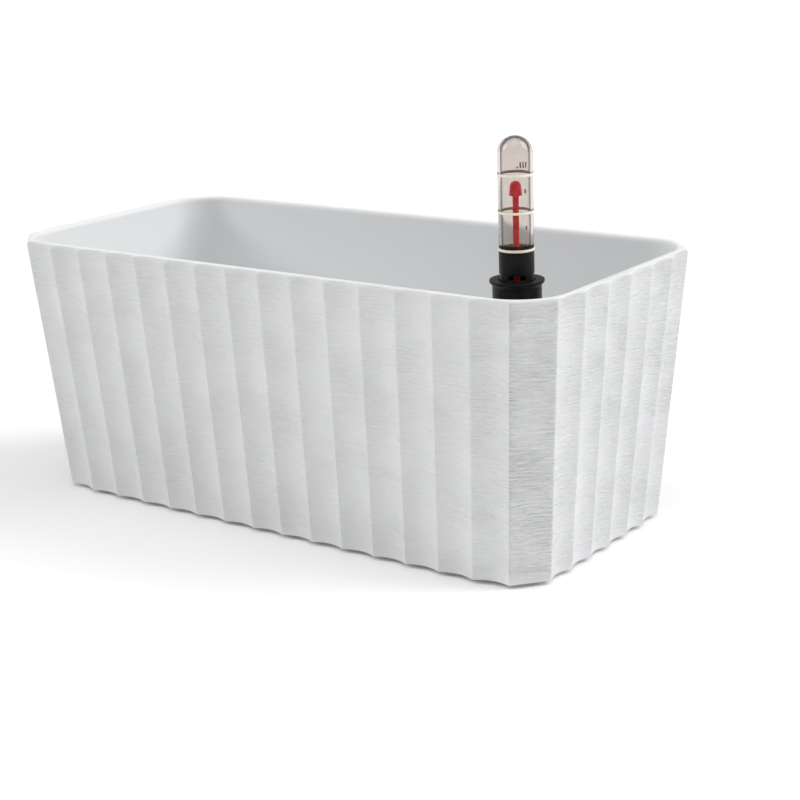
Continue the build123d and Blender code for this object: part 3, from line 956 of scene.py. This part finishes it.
# The last corner only sets the side's slant, and the arc takes its place
head_corners = [
    (ROD_SOCKET, ROD_TOP),
    (ROD_SOCKET, HEAD_BOTTOM),
    (HEAD_FOOT_RADIUS, HEAD_BOTTOM),
    (2.2, 149.0),
]
head_profile = soften(head_corners, 0.25)[:-4]
head_profile += arc(HEAD_CHEEK, HEAD_RADIUS, 0, 90, 14)
head_profile.append((0, ROD_TOP))
turned("head", "indicator_head", "float", "indicator_red", INDICATOR_RED, head_profile)

float_low, float_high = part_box("float_body")
turned(
    "float",
    "float_body",
    "float",
    "float_foam",
    FLOAT_FOAM,
    soften(
        [
            (ROD_SOCKET, float_low.z / MM),
            (FLOAT_RADIUS, float_low.z / MM),
            (FLOAT_RADIUS, float_high.z / MM),
            (ROD_SOCKET, float_high.z / MM),
        ],
        0.9,
        5,
    ),
)
clip_bottom = float_low.z / MM - CLIP_HEIGHT
turned(
    "float-clip",
    "float_clip",
    "float",
    "gauge_black",
    GAUGE_BLACK,
    soften(
        [
            (0, clip_bottom),
            (CLIP_RADIUS, clip_bottom),
            (CLIP_RADIUS, clip_bottom + CLIP_HEIGHT),
            (ROD_SOCKET, clip_bottom + CLIP_HEIGHT),
            (ROD_SOCKET, clip_bottom + CLIP_FLOOR),
            (0, clip_bottom + CLIP_FLOOR),
        ],
        0.3,
    ),
)


def level_marks():
    """Small plain printed marks on the clear tube, a group near the top ring and two below."""
    bm = bmesh.new()
    front = -57.5
    print_depth = 0.03
    steps = 4
    # Turn from the front in degrees, middle height, width and height of each mark
    for turn, height, width, tall in (
        (6.5, 157.4, 0.6, 0.6),
        (16.5, 158.2, 0.6, 2.2),
        (26, 158.2, 0.6, 2.2),
        (35.5, 158.2, 0.6, 2.2),
        (32, 148.4, 0.7, 1.6),
        (35, 134.6, 0.7, 1.6),
    ):
        skins = []
        for radius in (TUBE + 0.002, TUBE + print_depth):
            half = math.degrees(width / 2 / radius)
            rows = []
            for level in (height - tall / 2, height + tall / 2):
                row = []
                for step in range(steps + 1):
                    angle = math.radians(front + turn + half * (2 * step / steps - 1))
                    x = GAUGE.x + radius * MM * math.cos(angle)
                    y = GAUGE.y + radius * MM * math.sin(angle)
                    row.append(bm.verts.new((x, y, level * MM)))
                rows.append(row)
            skins.append(rows[0] + rows[1][::-1])
        under, over = skins
        bridge(bm, under, over)
        for skin in skins:
            for step in range(steps):
                bm.faces.new((skin[step], skin[step + 1], skin[-step - 2], skin[-step - 1]))
    marks = to_object(bm, "level-marks", MARK_BROWN)
    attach(marks, "gauge")


level_marks()

# ---------------------------------------------------------------------------------------
# Moulded pieces that keep the CAD node's shape, with their edges eased
# ---------------------------------------------------------------------------------------


def eased(node, body, slot, material, width):
    """A piece with the CAD node's shape and softly rounded edges, in the node's place."""
    bm = bmesh.new()
    bm.from_mesh(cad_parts[node].data)
    bmesh.ops.remove_doubles(bm, verts=bm.verts, dist=0.004 * MM)
    bmesh.ops.dissolve_limit(
        bm, angle_limit=math.radians(1.5), verts=bm.verts, edges=bm.edges
    )
    ease_edges(bm, width)
    unused = [vertex for vertex in bm.verts if not vertex.link_edges]
    bmesh.ops.delete(bm, geom=unused, context="VERTS")
    piece = to_object(bm, node.replace("_", "-"), material)
    return stand_for(piece, body, slot, node)


eased("separator_tray", "tray", "tray_plastic", TRAY_SATIN, 0.3 * MM)
eased("wicking_basket_left", "tray", "tray_plastic", TRAY_SATIN, 0.25 * MM)
eased("wicking_basket_right", "tray", "tray_plastic", TRAY_SATIN, 0.25 * MM)
eased("cage_end_cap", "gauge", "gauge_black", GAUGE_BLACK, 0.15 * MM)
eased("drain_plug", "plug", "plug_rubber", PLUG_RUBBER, 0.25 * MM)

# ---------------------------------------------------------------------------------------
# Camera, floor and light
# ---------------------------------------------------------------------------------------

CAMERA_PLACE = Vector((0.4551, -0.5754, 0.2591))
CAMERA_AZIMUTH = math.radians(36.56)
CAMERA_ELEVATION = math.radians(16.41)
CAMERA_ROLL = math.radians(-2.08)
CAMERA_LENS = 78.72
SENSOR = 36.0


def build_camera():
    """Camera to the front right and a little above the rim, built from its three axes."""
    azimuth, elevation = CAMERA_AZIMUTH, CAMERA_ELEVATION
    back = Vector(
        (
            math.sin(azimuth) * math.cos(elevation),
            -math.cos(azimuth) * math.cos(elevation),
            math.sin(elevation),
        )
    )
    right = Vector((math.cos(azimuth), math.sin(azimuth), 0))
    up = back.cross(right)
    cos_roll, sin_roll = math.cos(CAMERA_ROLL), math.sin(CAMERA_ROLL)
    rolled_right = right * cos_roll + up * sin_roll
    rolled_up = up * cos_roll - right * sin_roll
    axes = Matrix((rolled_right, rolled_up, back)).transposed()
    data = bpy.data.cameras.new("camera")
    data.sensor_width = SENSOR
    data.lens = CAMERA_LENS
    data.clip_start = 0.01
    data.clip_end = 100.0
    camera = bpy.data.objects.new("camera", data)
    camera.matrix_world = Matrix.Translation(CAMERA_PLACE) @ axes.to_4x4()
    bpy.context.scene.collection.objects.link(camera)
    bpy.context.scene.camera = camera


def build_floor():
    """Large plain floor."""
    bm = bmesh.new()
    ring = ring_of(bm, circle_points((0, 0), 30.0, 64), 0.0)
    bm.faces.new(ring)
    floor = to_object(bm, "studio-floor", floor_material())


def add_sun(name, azimuth, elevation, strength, softness):
    """Soft light from far away; azimuth is measured from +X towards +Y."""
    data = bpy.data.lights.new(name, "SUN")
    data.energy = strength
    data.angle = math.radians(softness)
    sun = bpy.data.objects.new(name, data)
    a, e = math.radians(azimuth), math.radians(elevation)
    towards = Vector((math.cos(a) * math.cos(e), math.sin(a) * math.cos(e), math.sin(e)))
    sun.rotation_euler = towards.to_track_quat("Z", "Y").to_euler()
    bpy.context.scene.collection.objects.link(sun)


def build_light():
    """White surroundings, and soft light from the far right, the near left and overhead."""
    scene = bpy.context.scene
    world = bpy.data.worlds.new("studio")
    scene.world = world
    world.use_nodes = True
    background = world.node_tree.nodes["Background"]
    background.inputs["Color"].default_value = (1, 1, 1, 1)
    background.inputs["Strength"].default_value = 0.35
    add_sun("far_right", azimuth=36, elevation=38, strength=1.95, softness=40)
    add_sun("near_left", azimuth=208, elevation=30, strength=1.00, softness=25)
    add_sun("overhead", azimuth=300, elevation=80, strength=1.00, softness=45)
    scene.view_settings.view_transform = "Standard"
    scene.view_settings.look = "None"


build_camera()
build_floor()
build_light()
